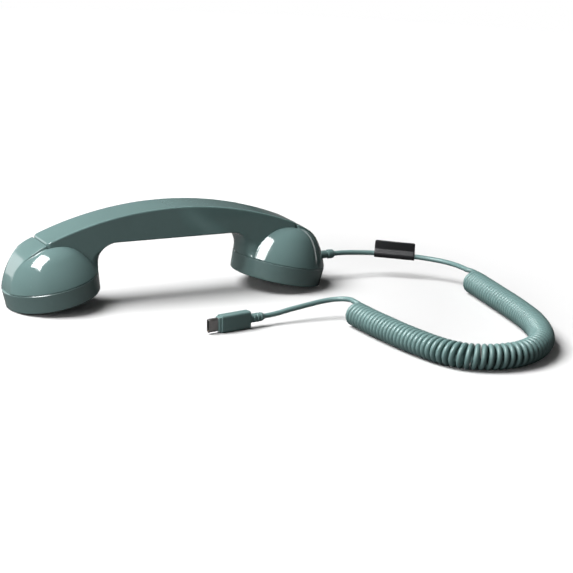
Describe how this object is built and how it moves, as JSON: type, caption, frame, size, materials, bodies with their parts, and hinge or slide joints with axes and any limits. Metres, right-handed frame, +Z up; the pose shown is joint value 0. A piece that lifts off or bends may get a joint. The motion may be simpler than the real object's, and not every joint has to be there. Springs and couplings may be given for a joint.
{
  "type": "telephone handset",
  "caption": "Telephone handset with an arched handle between an ear cup and a mouth cup, on a curly cord that ends in a USB-C plug.",
  "frame": {"origin": "on the floor, under the middle of the handset", "axes": "+X towards the mouth cup, where the cord leaves; +Y across the handle; +Z up, away from the floor that the cup faces rest on"},
  "size_m": [0.301, 0.2455, 0.0588],
  "materials": {
    "sage_shell": "polished moulded plastic, sage green",
    "sage_cap": "polished moulded plastic, sage green",
    "acoustic_cloth": "fine black weave",
    "black_rubber": "moulded black rubber",
    "pressed_steel": "pressed steel",
    "cone_paper": "coated paper",
    "magnet": "sintered magnet, dark",
    "tinned_brass": "tinned brass",
    "white_plastic": "moulded white plastic",
    "capsule_metal": "spun aluminium",
    "board": "solder mask over glass fibre",
    "chip": "moulded black epoxy",
    "screw_steel": "zinc plated steel",
    "red_wire": "red insulation",
    "blue_wire": "blue insulation",
    "sage_rubber": "soft moulded elastomer, sage green",
    "sage_cord": "satin cord jacket, sage green",
    "black_label": "soft black label, blank",
    "plug_steel": "satin nickel on steel",
    "gold_plate": "gold plated"
  },
  "bodies": {
    "handset": {"handle_shell": "sage_shell", "grip_cover": "sage_shell", "ear_dome": "sage_shell", "mouth_dome": "sage_shell", "ear_cap": "sage_cap", "mouth_cap": "sage_cap", "ear_cloth": "acoustic_cloth", "mouth_cloth": "acoustic_cloth", "cap_rings": "black_rubber", "speaker_gasket": "black_rubber", "speaker_frame": "pressed_steel", "speaker_cone": "cone_paper", "speaker_magnet": "magnet", "speaker_terminals": "tinned_brass", "mic_pad": "black_rubber", "mic_holder": "white_plastic", "mic_boot": "black_rubber", "mic_capsule": "capsule_metal", "main_board": "board", "controller_chips": "chip", "wire_sockets": "white_plastic", "tact_switch": "capsule_metal", "cover_screws": "screw_steel", "board_screws": "screw_steel", "dome_screws": "screw_steel", "cable_clamp": "white_plastic", "clamp_screws": "screw_steel", "speaker_wires": "red_wire", "mic_wires": "blue_wire", "inner_lead": "sage_cord", "cord_boot": "sage_rubber", "cord_lead": "sage_cord", "cord_label": "black_label", "cord_coil": "sage_cord", "cord_tail": "sage_cord", "plug_relief": "sage_rubber", "plug_body": "sage_rubber", "plug_shell": "plug_steel", "plug_tongue": "chip", "plug_contacts": "gold_plate"},
    "button": {"call_button": "sage_cap", "switch_plunger": "chip"}
  },
  "joints": [
    {"name": "button_press", "type": "slide", "parent": "handset", "child": "button", "axis": [0, 0, 1], "range_m": [0, 0.0006], "stiffness_N_per_m": 800}
  ]
}
